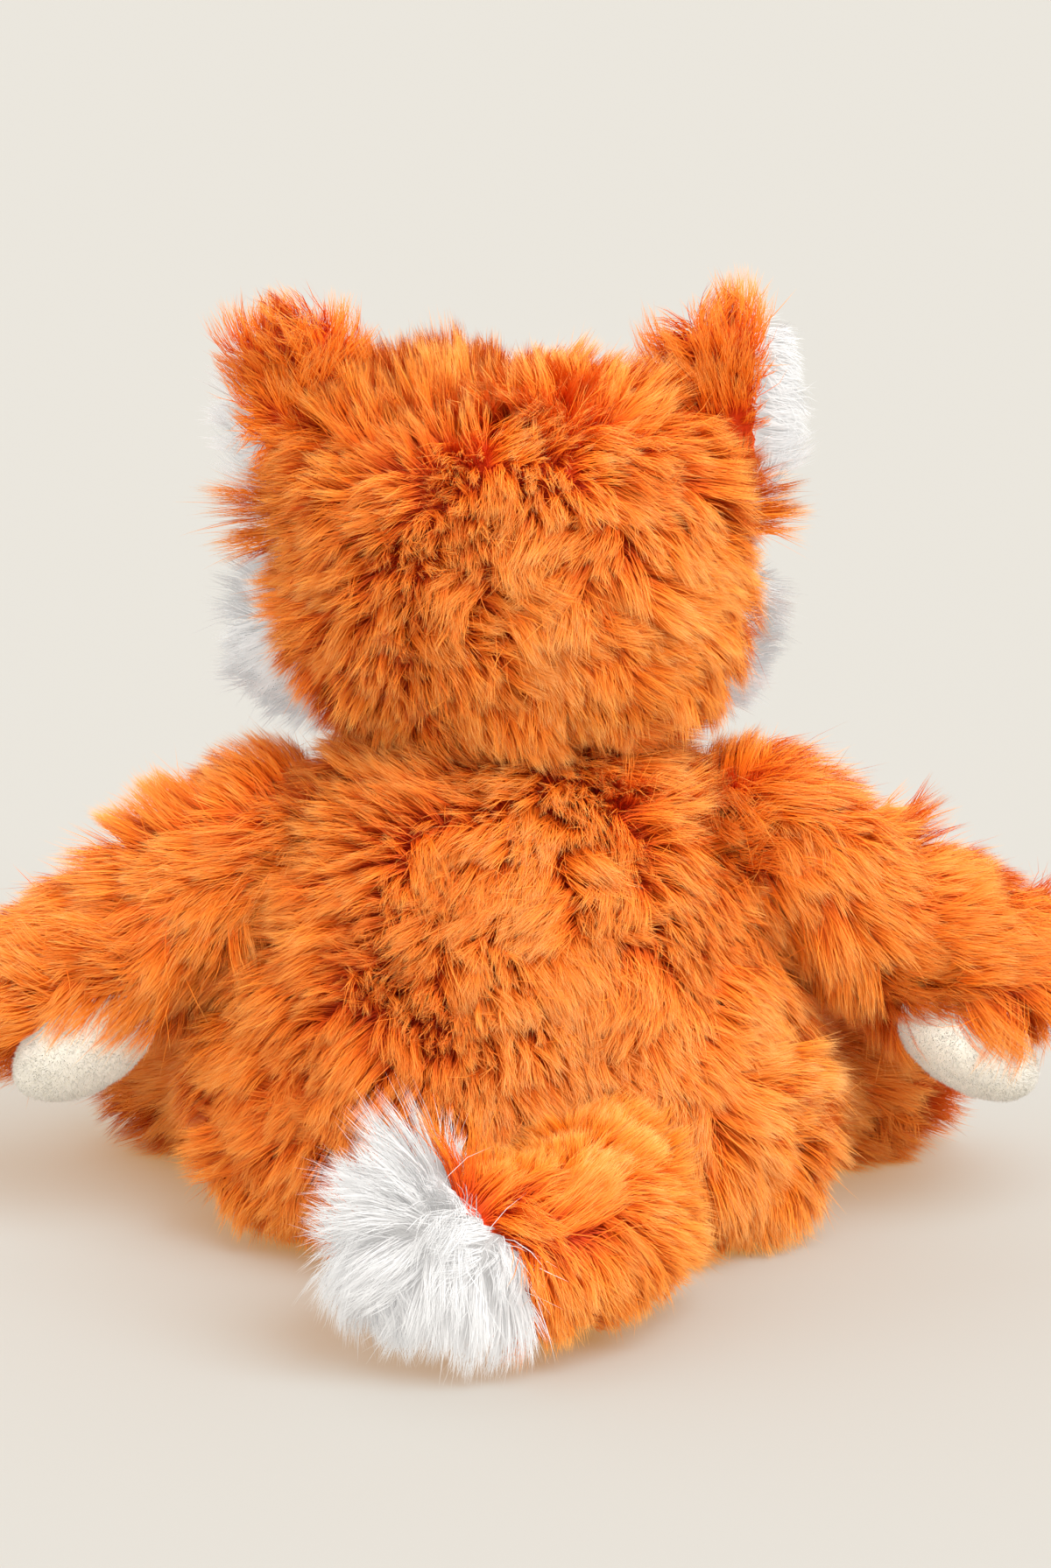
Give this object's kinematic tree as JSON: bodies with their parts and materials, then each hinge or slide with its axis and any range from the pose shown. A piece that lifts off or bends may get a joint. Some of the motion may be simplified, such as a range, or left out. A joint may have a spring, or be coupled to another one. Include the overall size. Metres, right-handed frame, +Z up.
{
  "type": "plush fox",
  "caption": "Seated long-pile plush fox with spread arms, short splayed legs, folding ears and a curled tail.",
  "frame": {"origin": "centre of the flat seat that the toy rests on", "axes": "+Z up, +X towards the fox's left, the face towards -Y"},
  "size_m": [0.2934, 0.2428, 0.2365],
  "materials": {
    "orange_fur": "matte",
    "white_fur": "matte",
    "cream_pile": "matte",
    "fibre_fill": "matte",
    "bag_cloth": "matte",
    "black_gloss": "gloss",
    "washer_plastic": "satin"
  },
  "bodies": {
    "torso": {"torso_back_left": "orange_fur", "torso_back_right": "orange_fur", "torso_belly": "white_fur", "torso_seat": "orange_fur", "pellet_bag": "bag_cloth", "torso_stuffing": "fibre_fill"},
    "head": {"head_back_left": "orange_fur", "head_back_right": "orange_fur", "face_upper": "orange_fur", "face_lower": "white_fur", "muzzle": "white_fur", "head_stuffing": "fibre_fill", "eye_left": "black_gloss", "eye_right": "black_gloss", "nose": "black_gloss", "eye_washer_left": "washer_plastic", "eye_washer_right": "washer_plastic", "nose_washer": "washer_plastic", "cheek_left": "white_fur", "cheek_right": "white_fur"},
    "ear_left": {"ear_back_left": "orange_fur", "ear_lining_left": "white_fur"},
    "ear_right": {"ear_back_right": "orange_fur", "ear_lining_right": "white_fur"},
    "arm_left": {"arm_fur_left": "orange_fur", "palm_pad_left": "cream_pile", "arm_stuffing_left": "fibre_fill"},
    "arm_right": {"arm_fur_right": "orange_fur", "palm_pad_right": "cream_pile", "arm_stuffing_right": "fibre_fill"},
    "leg_left": {"leg_fur_left": "orange_fur", "sole_pad_left": "cream_pile", "leg_stuffing_left": "fibre_fill"},
    "leg_right": {"leg_fur_right": "orange_fur", "sole_pad_right": "cream_pile", "leg_stuffing_right": "fibre_fill"},
    "tail": {"tail_fur": "orange_fur", "tail_tip_fur": "white_fur", "tail_stuffing": "fibre_fill"}
  },
  "joints": [
    {"name": "head_nod", "type": "hinge", "parent": "torso", "child": "head", "pos_m": [0, 0, 0.11049], "axis": [1, 0, 0], "range_deg": [-12, 12], "stiffness_Nm_per_rad": 1.2},
    {"name": "ear_fold_left", "type": "hinge", "parent": "head", "child": "ear_left", "pos_m": [0.0492, -0.00212, 0.20331], "axis": [-0.5275, 0, 0.8496], "range_deg": [-20, 35], "stiffness_Nm_per_rad": 0.03},
    {"name": "ear_fold_right", "type": "hinge", "parent": "head", "child": "ear_right", "pos_m": [-0.0492, -0.00212, 0.20331], "axis": [-0.5275, 0, -0.8496], "range_deg": [-20, 35], "stiffness_Nm_per_rad": 0.03},
    {"name": "shoulder_left", "type": "hinge", "parent": "torso", "child": "arm_left", "pos_m": [0.0624, 0, 0.09525], "axis": [0, -1, 0], "range_deg": [-8, 28], "stiffness_Nm_per_rad": 0.2},
    {"name": "shoulder_right", "type": "hinge", "parent": "torso", "child": "arm_right", "pos_m": [-0.0624, 0, 0.09525], "axis": [0, 1, 0], "range_deg": [-8, 28], "stiffness_Nm_per_rad": 0.2},
    {"name": "hip_left", "type": "hinge", "parent": "torso", "child": "leg_left", "pos_m": [0.0544, -0.04392, 0.0255], "axis": [-0.7431, -0.6691, 0], "range_deg": [0, 30], "stiffness_Nm_per_rad": 0.1},
    {"name": "hip_right", "type": "hinge", "parent": "torso", "child": "leg_right", "pos_m": [-0.0584, -0.03782, 0.0255], "axis": [-0.682, 0.7314, 0], "range_deg": [0, 30], "stiffness_Nm_per_rad": 0.1},
    {"name": "tail_wag", "type": "hinge", "parent": "torso", "child": "tail", "pos_m": [-0.02, 0.05734, 0.03], "axis": [0, 0, 1], "range_deg": [-22, 25], "stiffness_Nm_per_rad": 0.08}
  ]
}
